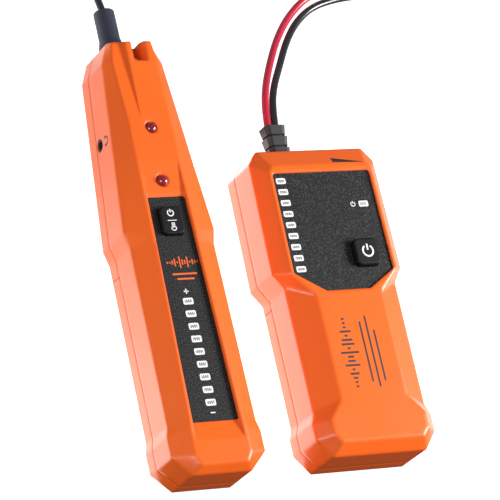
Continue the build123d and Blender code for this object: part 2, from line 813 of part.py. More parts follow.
screw_sets = {
    "receiver_case_screws": (rx_boss, rx_foot_boss),
    "transmitter_case_screws": (tx_boss, tx_foot_boss),
}
for name, (case_places, foot_places) in screw_sets.items():
    with BuildPart() as screws:
        for places, head_top, length in (
            (case_places, head_floor, parting_z + screw_bite - head_floor - 0.5),
            (foot_places, tray_z, tray_plate + foot_screw_bite - 0.1),
        ):
            with BuildSketch(Plane.XY.offset(head_top - screw_head)):
                with Locations(*places):
                    Circle(screw_head_d / 2)
            extrude(amount=screw_head)
            with BuildSketch(Plane.XY.offset(head_top)):
                with Locations(*places):
                    Circle(screw_d / 2)
            extrude(amount=length)
            with BuildSketch(Plane.XY.offset(head_top - screw_head)):
                with Locations(*places):
                    Rectangle(screw_head_d * 0.62, 0.6)
                    Rectangle(0.6, screw_head_d * 0.62)
            extrude(amount=screw_head * 0.5, mode=Mode.SUBTRACT)
    save(screws, name)

# ---------------------------------------------------------------- probe boot, neck and tip
neck_points = [
    Vector(probe_x, rx_nose_y + boot_length, probe_z),
    Vector(probe_x - 1.6, rx_nose_y + boot_length + 23.0, probe_z - 4.3),
    Vector(probe_x - 2.8, rx_nose_y + boot_length + 51.0, probe_z - 8.2),
    Vector(probe_x - 3.8, rx_nose_y + boot_length + 99.0, tip_d / 2 + 0.1),
]


def neck_run(start, towards, length, ball_end, cup_start):
    """One length of the bendable neck; a ball at its far end sits in the next one's cup."""
    way = (towards - start).normalized()
    set_back = neck_cup_start if cup_start else 0.0
    first = start + way * set_back
    run = length - set_back
    with BuildPart() as link:
        with BuildSketch(Plane(origin=first, z_dir=way)):
            Circle(neck_d / 2)
        extrude(amount=run)
        if ball_end:
            with Locations(start + way * length):
                Sphere(neck_d / 2)
        if cup_start:
            with Locations(start):
                Sphere(neck_d / 2 + neck_socket_gap, mode=Mode.SUBTRACT)
    return link


boot_end, bend_1, bend_2, tip_end = neck_points
root_way = (bend_1 - boot_end).normalized()
neck_root = boot_end - root_way * neck_seat
neck_base = neck_run(neck_root, bend_1, (bend_1 - neck_root).length, True, False)
neck_middle = neck_run(bend_1, bend_2, (bend_2 - bend_1).length, True, True)
tip_way = (tip_end - bend_2).normalized()
tip_root = tip_end - tip_way * tip_length
neck_end = neck_run(bend_2, tip_end, (tip_root - bend_2).length, False, True)
save(neck_base, "receiver_probe_neck_base")
save(neck_middle, "receiver_probe_neck_middle")
save(neck_end, "receiver_probe_neck_end")

with BuildPart() as receiver_probe_tip:
    with BuildSketch(Plane(origin=tip_root, z_dir=tip_way)):
        Circle(tip_d / 2)
    extrude(amount=tip_length)
    fillet(receiver_probe_tip.faces().sort_by(Axis.Y)[-1].edges(), tip_d / 2 - 0.4)
    fillet(receiver_probe_tip.faces().sort_by(Axis.Y)[0].edges(), tip_d / 2 - neck_d / 2 - 0.3)
save(receiver_probe_tip, "receiver_probe_tip")

with BuildPart() as receiver_probe_boot:
    with BuildSketch(Plane(origin=(probe_x, rx_nose_y, probe_z), x_dir=(1, 0, 0), z_dir=(0, 0, 1))):
        with BuildLine():
            Polyline(
                (0, -wall - 1.8),
                (boot_flange_d / 2, -wall - 1.8),
                (boot_flange_d / 2, -wall - 0.05),
                (boot_bore_wall_d / 2, -wall - 0.05),
                (boot_bore_wall_d / 2, 0.05),
                (boot_flare_d / 2, 0.05),
                (boot_flare_d / 2, boot_flare_length * 0.5),
                (boot_d / 2, boot_flare_length),
                (boot_top_d / 2, boot_length),
                (0, boot_length),
                close=True,
            )
        make_face()
    revolve(axis=Axis((probe_x, rx_nose_y, probe_z), (0, 1, 0)))
    fillet(receiver_probe_boot.faces().sort_by(Axis.Y)[-1].edges(), 2.2)
    with BuildSketch(Plane(origin=neck_root, z_dir=root_way)):
        Circle(neck_d / 2)
    extrude(amount=neck_seat + 2, mode=Mode.SUBTRACT)
save(receiver_probe_boot, "receiver_probe_boot")

# ---------------------------------------------------------------- strain relief
with BuildPart() as transmitter_strain_relief:
    with BuildSketch(across(relief_x, tx_top_y - wall - 1.6, relief_z)):
        RectangleRounded(relief_width, relief_height, relief_round + 0.6)
    extrude(amount=1.5)
    with BuildSketch(across(relief_x, tx_top_y - wall - 0.2, relief_z)):
        RectangleRounded(*relief_hole, relief_round)
    extrude(amount=relief_length + wall - 1.0)
    for rib in range(relief_ribs):
        rib_y = tx_top_y + 0.4 + rib * relief_pitch
        with BuildSketch(across(relief_x, rib_y, relief_z)):
            RectangleRounded(relief_width - 1.2, relief_height - 1.2, relief_round + 0.2)
        with BuildSketch(across(relief_x, rib_y + relief_rib, relief_z)):
            RectangleRounded(relief_width, relief_height, relief_round + 0.6)
        loft()
save(transmitter_strain_relief, "transmitter_strain_relief")
relief_end_y = tx_top_y - wall - 0.2 + relief_length + wall - 1.0

# ---------------------------------------------------------------- clip leads
half_lead = lead_spacing / 2
rest_z = lead_d / 2 + 0.1
red_coil = (121.0, 151.5)
black_coil = (164.0, 146.0)
red_route = [
    (relief_x - half_lead, relief_end_y, relief_z),
    (64.6, 69.0, 14.2),
    (68.6, 80.5, 12.4),
    (75.6, 93.0, 8.8),
    (84.4, 105.4, 4.9),
    (94.6, 116.8, 2.6),
    (106.6, 126.4, rest_z),
    (red_coil[0], red_coil[1] - red_coil_radius, 3.0),
]
black_route = [
    (relief_x + half_lead, relief_end_y, relief_z),
    (68.3, 69.6, 14.2),
    (72.7, 80.0, 12.0),
    (79.8, 91.0, 8.8),
    (88.4, 102.2, 5.3),
    (98.4, 112.6, 2.9),
    (109.6, 121.2, rest_z),
    (122.4, 126.0, rest_z),
    (136.6, 127.9, rest_z),
    (151.6, 129.2, rest_z),
    (black_coil[0], black_coil[1] - black_coil_radius, 3.0),
]
red_tail = [
    (red_coil[0] + red_coil_radius, red_coil[1], 3.0),
    (red_coil[0] + red_coil_radius + 0.8, red_coil[1] + 9.5, 2.6),
    (red_coil[0] + red_coil_radius, red_coil[1] + 19.0, tail_z),
]
black_tail = [
    (black_coil[0] + black_coil_radius, black_coil[1], 3.0),
    (black_coil[0] + black_coil_radius + 0.8, black_coil[1] + 9.5, 2.6),
    (black_coil[0] + black_coil_radius, black_coil[1] + 19.0, tail_z),
]


def lead_radii(route):
    """Arc at each inner point: 0.45 of its shorter run, over the tangent of half the turn."""
    radii = []
    for before, here, after in zip(route, route[1:], route[2:]):
        run_in = Vector(here) - Vector(before)
        run_out = Vector(after) - Vector(here)
        turn = math.radians(run_in.get_angle(run_out))
        radii.append(0.45 * min(run_in.length, run_out.length) / math.tan(turn / 2))
    return radii


def lead_tube(route, name):
    radii = lead_radii(route)
    with BuildPart() as tube:
        with BuildLine() as path:
            FilletPolyline(*route, radius=radii)
        with BuildSketch(Plane(origin=path.line @ 0, z_dir=path.line % 0)):
            Circle(lead_d / 2)
        sweep(path=path.line)
    length = sum(edge.length for edge in path.line.edges())
    expected = math.pi * lead_d**2 / 4 * length
    print(name, "length", round(length, 1), "radii", [round(r, 1) for r in radii])
    print(name, "volume", round(tube.part.volume, 1), "expected", round(expected, 1))
    save(tube, name)


def lead_coil(centre, radius, name):
    with BuildPart() as coil:
        with BuildSketch(Plane.XZ.offset(-centre[1])):
            with Locations((centre[0] + radius, coil_section[1] / 2)):
                RectangleRounded(*coil_section, 2.0)
        revolve(axis=Axis((centre[0], centre[1], 0), (0, 0, 1)))
    save(coil, name)


lead_tube(red_route, "red_lead")
lead_tube(red_tail, "red_lead_tail")
lead_tube(black_route, "black_lead")
lead_tube(black_tail, "black_lead_tail")
lead_coil(red_coil, red_coil_radius, "red_lead_coil")
lead_coil(black_coil, black_coil_radius, "black_lead_coil")

# ---------------------------------------------------------------- alligator clips
tooth = 1.0
teeth_start = 8.0
teeth = []
for n in range(int((jaw_length - teeth_start) / tooth)):
    teeth.append((jaw_length - n * tooth, -0.2))
    teeth.append((jaw_length - (n + 0.5) * tooth, -1.0))
jaw_outline = [
    (jaw_length, -2.2),
    (6.0, -4.6),
    (-3.0, -5.6),
    (-handle_length, -7.0),
    (-handle_length, -5.8),
    (-5.0, -3.2),
    (-2.6, 0.8),
    (-1.0, 2.2),
    (1.5, 2.2),
    (3.2, 0.6),
    (teeth_start, -0.3),
]
jaw_floor = [(jaw_length + 1, -2.2 + sheet), (6.0, -4.6 + sheet), (-3.0, -5.6 + sheet)]
jaw_floor += [(-handle_length - 1, -7.0 + sheet), (-handle_length - 1, 6.0), (jaw_length + 1, 6.0)]
grip_outline = [
    (-handle_length - 2.0, -7.9),
    (-handle_length - 2.0, -4.4),
    (-handle_length - 0.5, -4.4),
    (-5.0, -2.6),
    (-4.0, -6.6),
]


def side_solid(outline, place, flip, half_width):
    """Side profile about the clip's pivot, spread to both sides of its middle."""
    px, py, pz = place
    points = [(py + y, pz + flip * z) for y, z in outline]
    with BuildPart() as body:
        with BuildSketch(Plane.YZ.offset(px)):
            with BuildLine():
                Polyline(*points, close=True)
            make_face()
        extrude(amount=half_width, both=True)
    return body.part


def clip(colour, place):
    """Sprung two-jaw clip: the lower jaw holds the lead, the upper one turns on the pin."""
    px, py, pz = place
    for level, flip, half_width, pin_gap in (
        ("lower", 1, jaw_half, 0.0),
        ("upper", -1, jaw_half - sheet - jaw_gap, pin_running_gap),
    ):
        plate = side_solid(jaw_outline + list(reversed(teeth)), place, flip, half_width)
        channel = side_solid(jaw_floor, place, flip, half_width - sheet)
        pin_hole = Plane(origin=(px - 8, py, pz), x_dir=(0, 1, 0), z_dir=(1, 0, 0))
        with BuildPart() as jaw:
            add(plate)
            add(channel, mode=Mode.SUBTRACT)
            with BuildSketch(pin_hole):
                Circle(pin_d / 2 + pin_gap)
            extrude(amount=16, mode=Mode.SUBTRACT)
        save(jaw, f"{colour}_clip_{level}_jaw")
        sleeve = side_solid(grip_outline, place, flip, jaw_half + grip_wall)
        slot_outline = [(-handle_length, -7.0), (0, -6.0), (0, 2.0), (-handle_length, 2.0)]
        slot = side_solid(slot_outline, place, flip, half_width)
        with BuildPart() as grip:
            add(sleeve)
            add(slot, mode=Mode.SUBTRACT)
        save(grip, f"{colour}_clip_{level}_grip")
    with BuildPart() as pin:
        with BuildSketch(Plane(origin=(px - jaw_half - 0.4, py, pz), x_dir=(0, 1, 0), z_dir=(1, 0, 0))):
            Circle(pin_d / 2)
        extrude(amount=2 * jaw_half + 0.8)
    save(pin, f"{colour}_clip_pin")
    ring_pitch = spring_wire * 0.9
    with BuildPart() as spring:
        for n in (-2, -1, 0, 1, 2):
            with Locations(Location((px + n * ring_pitch, py, pz), (0, 90, 0))):
                Torus(spring_r, spring_wire / 2)
    save(spring, f"{colour}_clip_spring")


clip_z = 7.95
clip_reach = 19.0 + handle_length + 1.0
clip("red", (red_coil[0] + red_coil_radius, red_coil[1] + clip_reach, clip_z))
clip("black", (black_coil[0] + black_coil_radius, black_coil[1] + clip_reach, clip_z))
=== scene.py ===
"""Tone probe kit: a slim receiver with a bendable probe, and a transmitter with two clip leads."""

import json
import math

import bmesh
import bpy
from mathutils import Euler, Matrix, Vector


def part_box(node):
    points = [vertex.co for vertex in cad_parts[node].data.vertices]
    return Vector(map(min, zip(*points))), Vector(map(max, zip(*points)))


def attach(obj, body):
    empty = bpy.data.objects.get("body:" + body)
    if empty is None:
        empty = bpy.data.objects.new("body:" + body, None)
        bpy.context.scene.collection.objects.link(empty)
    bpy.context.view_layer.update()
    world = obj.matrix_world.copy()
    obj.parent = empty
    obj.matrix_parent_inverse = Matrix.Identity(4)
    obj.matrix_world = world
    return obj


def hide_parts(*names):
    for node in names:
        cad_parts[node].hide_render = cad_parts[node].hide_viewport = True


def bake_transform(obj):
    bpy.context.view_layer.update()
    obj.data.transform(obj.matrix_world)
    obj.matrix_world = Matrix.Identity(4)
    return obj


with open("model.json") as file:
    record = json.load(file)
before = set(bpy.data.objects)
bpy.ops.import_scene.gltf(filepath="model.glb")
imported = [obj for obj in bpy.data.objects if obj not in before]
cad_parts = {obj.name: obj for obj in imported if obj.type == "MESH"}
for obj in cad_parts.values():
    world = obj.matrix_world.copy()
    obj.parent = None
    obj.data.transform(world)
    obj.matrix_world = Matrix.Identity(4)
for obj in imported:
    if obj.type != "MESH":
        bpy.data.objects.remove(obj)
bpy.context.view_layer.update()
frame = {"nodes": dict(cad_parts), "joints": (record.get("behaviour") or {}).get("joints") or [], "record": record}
nodes = frame["nodes"]
MM = 0.001


def centre_mm(node):
    """The middle of a node's box, in millimetres."""
    low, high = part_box(node)
    return [(a + b) / 2 / MM for a, b in zip(low, high)]


def top_of(node):
    """The height of a node's highest point, in metres."""
    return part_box(node)[1].z


# ---------------------------------------------------------------- camera and studio

CAMERA_AIM = Vector((0.04175, 0.00395, 0.014))
CAMERA_TURN = (24.2384, -24.7170, -13.5558)   # degrees about X, Y and Z
CAMERA_DISTANCE = 1.5
LENS, SENSOR = 254.9, 36                      # mm


def make_camera():
    data = bpy.data.cameras.new("camera")
    data.lens = LENS
    data.sensor_width = SENSOR
    data.clip_start = 0.05
    data.clip_end = 20
    camera = bpy.data.objects.new("camera", data)
    turn = Euler([math.radians(angle) for angle in CAMERA_TURN]).to_matrix().to_4x4()
    camera.matrix_world = Matrix.Translation(CAMERA_AIM) @ turn @ Matrix.Translation((0, 0, CAMERA_DISTANCE))
    bpy.context.scene.collection.objects.link(camera)
    bpy.context.scene.camera = camera


def soft_box(name, place, aim, size, power):
    """A rectangular area light that faces aim."""
    data = bpy.data.lights.new(name, "AREA")
    data.shape = "RECTANGLE"
    data.size, data.size_y = size
    data.energy = power
    lamp = bpy.data.objects.new(name, data)
    lamp.location = place
    lamp.rotation_mode = "QUATERNION"
    lamp.rotation_quaternion = (aim - place).to_track_quat("-Z", "Y")
    bpy.context.scene.collection.objects.link(lamp)


def feed(tree, term, socket):
    """Sets a socket to a number, or links it to another node's output."""
    if isinstance(term, (int, float)):
        socket.default_value = term
    else:
        tree.links.new(term, socket)


def maths(tree, operation, *terms):
    """A math node's result; each term is a number or another node's output."""
    node = tree.nodes.new("ShaderNodeMath")
    node.operation = operation
    for term, socket in zip(terms, node.inputs):
        feed(tree, term, socket)
    return node.outputs[0]


CAMERA_WHITE = 1.1                   # what a camera ray meets on the paper: a little past full white
FEET_Y, HEADS_Y = -0.05, 0.05        # between these the glow goes from its first value to its second


def make_paper(name, glow, spill, white):
    """Paper that shines differently for each kind of ray, and is always white to the camera.

    Glow is what reflections meet, as a pair: near the feet of the units and near their heads.
    """
    paper = bpy.data.materials.new(name)
    paper.use_nodes = True
    tree = paper.node_tree
    shader = tree.nodes["Principled BSDF"]
    shader.inputs["Base Color"].default_value = (white, white, white, 1)
    shader.inputs["Roughness"].default_value = 0.9
    shader.inputs["Specular IOR Level"].default_value = 0.0
    shader.inputs["Emission Color"].default_value = (1, 1, 1, 1)
    place = tree.nodes.new("ShaderNodeSeparateXYZ")
    fade = tree.nodes.new("ShaderNodeMapRange")
    fade.inputs["From Min"].default_value, fade.inputs["From Max"].default_value = FEET_Y, HEADS_Y
    fade.inputs["To Min"].default_value, fade.inputs["To Max"].default_value = glow
    tree.links.new(tree.nodes.new("ShaderNodeTexCoord").outputs["Object"], place.inputs["Vector"])
    tree.links.new(place.outputs["Y"], fade.inputs["Value"])
    rays = tree.nodes.new("ShaderNodeLightPath").outputs
    seen = maths(tree, "MULTIPLY", rays["Is Camera Ray"], CAMERA_WHITE)
    shine = maths(tree, "MULTIPLY_ADD", rays["Is Glossy Ray"], fade.outputs["Result"], seen)
    wash = maths(tree, "MULTIPLY_ADD", rays["Is Diffuse Ray"], spill, shine)
    tree.links.new(wash, shader.inputs["Emission Strength"])
    return paper


def lay_paper(name, low, high, height, glow, spill, white):
    """A flat sheet of paper from its low corner to its high corner."""
    (x0, y0), (x1, y1) = low, high
    mesh = bpy.data.meshes.new(name)
    corners = [(x0, y0, height), (x1, y0, height), (x1, y1, height), (x0, y1, height)]
    mesh.from_pydata(corners, [], [(0, 1, 2, 3)])
    sheet = bpy.data.objects.new(name, mesh)
    bpy.context.scene.collection.objects.link(sheet)
    mesh.materials.append(make_paper(name, glow, spill, white))


def make_studio():
    """A paper floor with cards on it, and two box lights.
    """
    world = bpy.data.worlds.new("studio")
    world.use_nodes = True
    back = world.node_tree.nodes["Background"]
    back.inputs["Color"].default_value = (1, 1, 1, 1)
    back.inputs["Strength"].default_value = 0.24
    bpy.context.scene.world = world
    bpy.context.scene.view_settings.view_transform = "Standard"

    centre = Vector((0.04, 0.0, 0.01))
    soft_box("left_box", centre + Vector((-0.72, -0.25, 0.60)), centre, (0.5, 0.4), 4.5)
    soft_box("right_box", centre + Vector((0.82, -0.16, 0.54)), centre, (0.5, 0.4), 17.0)

    # name, low corner, high corner, height, glow at the feet and at the heads, spill, white
    for card in (
        ("floor", (-6, -6), (6, 6), -0.4 * MM, (0.0, 0.0), 0.0, 0.25),
        ("front_card", (-0.7, -0.7), (0.7, -0.0935), -0.2 * MM, (0.0, 0.0), 0.22, 0.03),
        ("left_card", (-0.40, -0.093), (0.0, 0.2), -0.3 * MM, (2.2, 0.6), 0.9, 0.7),
        ("middle_card", (0.015, -0.092), (0.06, 0.06), -0.3 * MM, (2.4, 2.6), 1.8, 0.88),
        ("right_card", (0.09, -0.092), (0.5, 0.06), -0.3 * MM, (0.9, 0.1), 0.3, 0.5),
    ):
        lay_paper(*card)


# ---------------------------------------------------------------- shared surface effects

OUTPUTS = (("Color", "NodeSocketColor"), ("Roughness", "NodeSocketFloat"), ("Height", "NodeSocketFloat"))


def new_group(name, inputs):
    """A node group for a surface, and its input and output nodes; inputs gives each socket's default."""
    group = bpy.data.node_groups.new(name, "ShaderNodeTree")
    for label, default in inputs.items():
        kind = "NodeSocketColor" if isinstance(default, tuple) else "NodeSocketFloat"
        socket = group.interface.new_socket(label, in_out="INPUT", socket_type=kind)
        socket.default_value = default
    for label, kind in OUTPUTS:
        group.interface.new_socket(label, in_out="OUTPUT", socket_type=kind)
    return group, group.nodes.new("NodeGroupInput"), group.nodes.new("NodeGroupOutput")


def object_place(group):
    return group.nodes.new("ShaderNodeTexCoord").outputs["Object"]


def noise(group, place, scale, detail):
    """Smooth noise, scale in waves per metre."""
    node = group.nodes.new("ShaderNodeTexNoise")
    node.inputs["Detail"].default_value = detail
    feed(group, scale, node.inputs["Scale"])
    group.links.new(place, node.inputs["Vector"])
    return node.outputs["Fac"]


def between(group, value, low, high):
    """Stretches value so that low..high becomes 0..1."""
    node = group.nodes.new("ShaderNodeMapRange")
    node.inputs["From Min"].default_value = low
    node.inputs["From Max"].default_value = high
    group.links.new(value, node.inputs["Value"])
    return node.outputs["Result"]


def mixed(group, share, first, second):
    """The first colour where share is 0, the second where it is 1."""
    node = group.nodes.new("ShaderNodeMix")
    node.data_type = "RGBA"
    group.links.new(share, node.inputs["Factor"])
    group.links.new(first, node.inputs["A"])
    group.links.new(second, node.inputs["B"])
    return node.outputs["Result"]


def make_moulded_group():
    """Moulded plastic: a fine spark-eroded grain, slow drifts of tone, and patches dulled by handling."""
    group, given, out = new_group(
        "moulded_plastic", {"Tone A": (1, 1, 1, 1), "Tone B": (1, 1, 1, 1), "Matte": 0.5, "Handled": 0.1})
    place = object_place(group)
    drift = between(group, noise(group, place, scale=28, detail=2), low=0.35, high=0.65)
    colour = mixed(group, drift, given.outputs["Tone A"], given.outputs["Tone B"])
    group.links.new(colour, out.inputs["Color"])
    hands = between(group, noise(group, place, scale=55, detail=3), low=0.4, high=0.7)
    dulled = maths(group, "MULTIPLY_ADD", hands, given.outputs["Handled"], given.outputs["Matte"])
    group.links.new(dulled, out.inputs["Roughness"])
    fine = noise(group, place, scale=2600, detail=2)
    coarse = noise(group, place, scale=1100, detail=1)
    fine_share = 0.6
    group.links.new(maths(group, "MULTIPLY_ADD", fine, fine_share, coarse), out.inputs["Height"])
    return group


def make_speckle_group():
    """Textured film: a dark ground with tiny paler flecks, each a little raised and a little shinier."""
    group, given, out = new_group(
        "speckled_film", {"Ground": (0, 0, 0, 1), "Fleck": (1, 1, 1, 1), "Scale": 2600.0})
    grain = noise(group, object_place(group), given.outputs["Scale"], detail=1)
    fleck = between(group, grain, low=0.50, high=0.72)
    colour = mixed(group, fleck, given.outputs["Ground"], given.outputs["Fleck"])
    group.links.new(colour, out.inputs["Color"])
    roughness = group.nodes.new("ShaderNodeMapRange")
    roughness.inputs["To Min"].default_value = 0.62
    roughness.inputs["To Max"].default_value = 0.48
    group.links.new(fleck, roughness.inputs["Value"])
    group.links.new(roughness.outputs["Result"], out.inputs["Roughness"])
    group.links.new(fleck, out.inputs["Height"])
    return group


def make_rolled_group():
    """Drawn or rolled metal: long fine scratches along Y and patches of duller haze."""
    group, given, out = new_group(
        "rolled_metal", {"Bright": (1, 1, 1, 1), "Dull": (0.5, 0.5, 0.5, 1), "Smooth": 0.2, "Haze": 0.2})
    place = object_place(group)
    along = group.nodes.new("ShaderNodeMapping")
    along.inputs["Scale"].default_value = (1.0, 0.06, 1.0)
    group.links.new(place, along.inputs["Vector"])
    lines = noise(group, along.outputs["Vector"], scale=3500, detail=2)
    haze = between(group, noise(group, place, scale=420, detail=3), low=0.35, high=0.7)
    colour = mixed(group, haze, given.outputs["Bright"], given.outputs["Dull"])
    group.links.new(colour, out.inputs["Color"])
    rough = maths(group, "MULTIPLY_ADD", haze, given.outputs["Haze"], given.outputs["Smooth"])
    group.links.new(rough, out.inputs["Roughness"])
    group.links.new(lines, out.inputs["Height"])
    return group


moulded = make_moulded_group()
speckled = make_speckle_group()
rolled = make_rolled_group()


def finish(name, group, values, depth, soft_edge=0.0, **shader_values):
    """A material whose colour, roughness and bump come from one of the groups above.

    Depth is the height of the grain, and soft_edge the radius that the shading rounds corners to, in metres.
    """
    material = bpy.data.materials.new(name)
    material.use_nodes = True
    tree = material.node_tree
    shader = tree.nodes["Principled BSDF"]
    effect = tree.nodes.new("ShaderNodeGroup")
    effect.node_tree = group
    for label, value in values.items():
        effect.inputs[label].default_value = value
    for label, value in shader_values.items():
        shader.inputs[label.replace("_", " ")].default_value = value
    bump = tree.nodes.new("ShaderNodeBump")
    bump.inputs["Distance"].default_value = depth
    bump.inputs["Strength"].default_value = 1.0
    if soft_edge:
        rounding = tree.nodes.new("ShaderNodeBevel")
        rounding.samples = 6
        rounding.inputs["Radius"].default_value = soft_edge
        tree.links.new(rounding.outputs["Normal"], bump.inputs["Normal"])
    tree.links.new(effect.outputs["Color"], shader.inputs["Base Color"])
    tree.links.new(effect.outputs["Roughness"], shader.inputs["Roughness"])
    tree.links.new(effect.outputs["Height"], bump.inputs["Height"])
    tree.links.new(bump.outputs["Normal"], shader.inputs["Normal"])
    return material


def plastic(name, tone, other_tone, matte, handled=0.08, depth=6e-6, soft_edge=0.0, **more):
    """Plastic in two tones; matte is its roughness, and handled what worn patches add to that."""
    values = {"Tone A": (*tone, 1), "Tone B": (*other_tone, 1), "Matte": matte, "Handled": handled}
    return finish(name, moulded, values, depth, soft_edge, **more)


def metal(name, bright, dull, smooth, haze):
    """Metal with duller patches; smooth is its roughness, and haze what the patches add to that."""
    values = {"Bright": (*bright, 1), "Dull": (*dull, 1), "Smooth": smooth, "Haze": haze}
    return finish(name, rolled, values, depth=3e-6, Metallic=1.0)


def make_finishes():
    film_values = {"Ground": (0.0075, 0.0075, 0.0085, 1), "Fleck": (0.060, 0.061, 0.062, 1), "Scale": 1900.0}
    return {
        "orange_case": plastic("orange_abs", (0.93, 0.134, 0.007), (0.91, 0.125, 0.006), 0.31, 0.05, 5e-6,
                               soft_edge=2.2 * MM, Coat_Weight=0.35, Coat_Roughness=0.22),
        "panel_grey": finish("panel_film", speckled, film_values, depth=1.0e-5, Specular_IOR_Level=0.25),
        "bar_white": plastic("bar_window", (0.86, 0.85, 0.86), (0.80, 0.79, 0.80), 0.25, 0.05, 2e-6),
        "button_black": plastic("button_rubber", (0.004, 0.004, 0.005), (0.006, 0.006, 0.007), 0.5, 0.1,
                                soft_edge=0.7 * MM, Specular_IOR_Level=0.25),
        "led_red": plastic("red_lamp_epoxy", (0.33, 0.008, 0.022), (0.22, 0.004, 0.014), 0.06, 0.03, 1e-6,
                           Coat_Weight=1.0, Coat_Roughness=0.03),
        "torch_white": plastic("clear_lamp_epoxy", (0.80, 0.82, 0.84), (0.72, 0.75, 0.78), 0.05, 0.03, 1e-6,
                               Coat_Weight=1.0, Coat_Roughness=0.03),
        "board_green": plastic("solder_mask", (0.015, 0.13, 0.05), (0.02, 0.17, 0.06), 0.3, 0.1, 3e-6),
        "chip_white": plastic("chip_lamp", (0.80, 0.76, 0.60), (0.74, 0.70, 0.50), 0.3, 0.1, 2e-6),
        "dark_plastic": plastic("black_nylon", (0.016, 0.016, 0.017), (0.024, 0.024, 0.025), 0.42, 0.12),
        "speaker_black": plastic("speaker_cone", (0.020, 0.020, 0.021), (0.030, 0.030, 0.031), 0.6, 0.1),
        "battery_jacket": metal("battery_can", (0.30, 0.30, 0.32), (0.16, 0.16, 0.18), 0.3, 0.15),
        "screw_steel": metal("black_nickel", (0.32, 0.32, 0.33), (0.18, 0.18, 0.19), 0.25, 0.2),
        "boot_rubber": plastic("boot_rubber", (0.030, 0.034, 0.056), (0.040, 0.044, 0.070), 0.42, 0.12, 5e-6,
                               soft_edge=0.5 * MM),
        "neck_sheath": plastic("neck_sheath", (0.015, 0.017, 0.028), (0.022, 0.024, 0.036), 0.36, 0.12,
                               5e-6),
        "relief_black": plastic("relief_rubber", (0.014, 0.014, 0.016), (0.022, 0.022, 0.024), 0.42, 0.12,
                                5e-6),
        "lead_red": plastic("red_vinyl", (0.56, 0.014, 0.050), (0.50, 0.010, 0.040), 0.26, 0.08, 3e-6,
                            Coat_Weight=0.6, Coat_Roughness=0.12),
        "lead_black": plastic("black_vinyl", (0.011, 0.011, 0.013), (0.018, 0.018, 0.020), 0.26, 0.08, 3e-6,
                              Coat_Weight=0.6, Coat_Roughness=0.12),
        "clip_nickel": metal("nickel_plate", (0.78, 0.75, 0.70), (0.62, 0.59, 0.54), 0.16, 0.18),
        "white_ink": plastic("white_ink", (0.90, 0.90, 0.90), (0.84, 0.84, 0.84), 0.5, 0.05, 1e-6),
        "grey_ink": plastic("grey_ink", (0.13, 0.11, 0.14), (0.17, 0.15, 0.18), 0.5, 0.05, 1e-6),
        "orange_ink": plastic("orange_ink", (0.85, 0.13, 0.012), (0.80, 0.11, 0.010), 0.5, 0.05, 1e-6),
        "black_ink": plastic("black_ink", (0.022, 0.020, 0.020), (0.030, 0.027, 0.027), 0.5, 0.05, 1e-6),
    }


finishes = make_finishes()


def dress_cad_pieces():
    """Each moulded or turned piece takes the finish of its slot."""
    for entry in frame["record"]["subparts"]:
        piece = nodes[entry["node"]]
        piece.data.materials.clear()
        piece.data.materials.append(finishes[entry["material_slot"]])


# ---------------------------------------------------------------- clip leads

LEAD_D = 3.2 * MM
# The way of each lead in mm, from the strain relief over the floor to its coil.
RED_ROUTE = [
    (63.65, 59.05, 14.5), (64.6, 69.0, 14.2), (68.6, 80.5, 12.4), (75.6, 93.0, 8.8),
    (83.9, 105.8, 4.9), (93.6, 117.6, 2.6), (105.6, 127.4, 1.7),
]
BLACK_ROUTE = [
    (67.15, 59.05, 14.5), (68.3, 69.6, 14.2), (72.7, 80.0, 12.0), (79.8, 91.0, 8.8),
    (87.4, 103.2, 5.3), (96.2, 114.2, 2.9), (107.4, 122.6, 1.7), (121.4, 126.4, 1.7),
    (136.6, 127.9, 1.7), (151.6, 129.2, 1.7),
]


LYING = 1.7                          # height of a lead's middle line where it lies on the floor, in mm
COIL_TURNS, TURN_STEPS = 2.25, 16
INWARD_FROM, CLIMB_FROM, EASE = 0.85, 1.8, 0.3    # turns at which each move starts, and how long it takes
CLIMB_INSET = 1.2


def coil_points(centre, outer, inner, over):
    """Two flat turns, the second inside the first, and then a part turn that climbs over them, in mm."""
    points = []
    for n in range(int(COIL_TURNS * TURN_STEPS) + 1):
        turn = n / TURN_STEPS
        angle = math.radians(-90 + 360 * turn)
        inward, climb = (min(1.0, max(0.0, (turn - start) / EASE)) for start in (INWARD_FROM, CLIMB_FROM))
        radius = outer + (inner - outer) * inward + (outer - CLIMB_INSET - inner) * climb
        height = LYING + (over - LYING) * climb
        points.append((centre[0] + radius * math.cos(angle), centre[1] + radius * math.sin(angle), height))
    return points


def lead_curve(name, points, slot):
    """A round lead as one smooth line through points given in mm."""
    curve = bpy.data.curves.new(name, "CURVE")
    curve.dimensions = "3D"
    curve.bevel_depth = LEAD_D / 2
    curve.bevel_resolution = 5
    curve.resolution_u = 8
    curve.use_fill_caps = True
    spline = curve.splines.new("NURBS")
    spline.points.add(len(points) - 1)
    for point, place in zip(spline.points, points):
        point.co = (place[0] * MM, place[1] * MM, place[2] * MM, 1)
    spline.order_u = 3
    spline.use_endpoint_u = True
    lead = bpy.data.objects.new(name, curve)
    bpy.context.scene.collection.objects.link(lead)
    curve.materials.append(finishes[slot])
    return lead


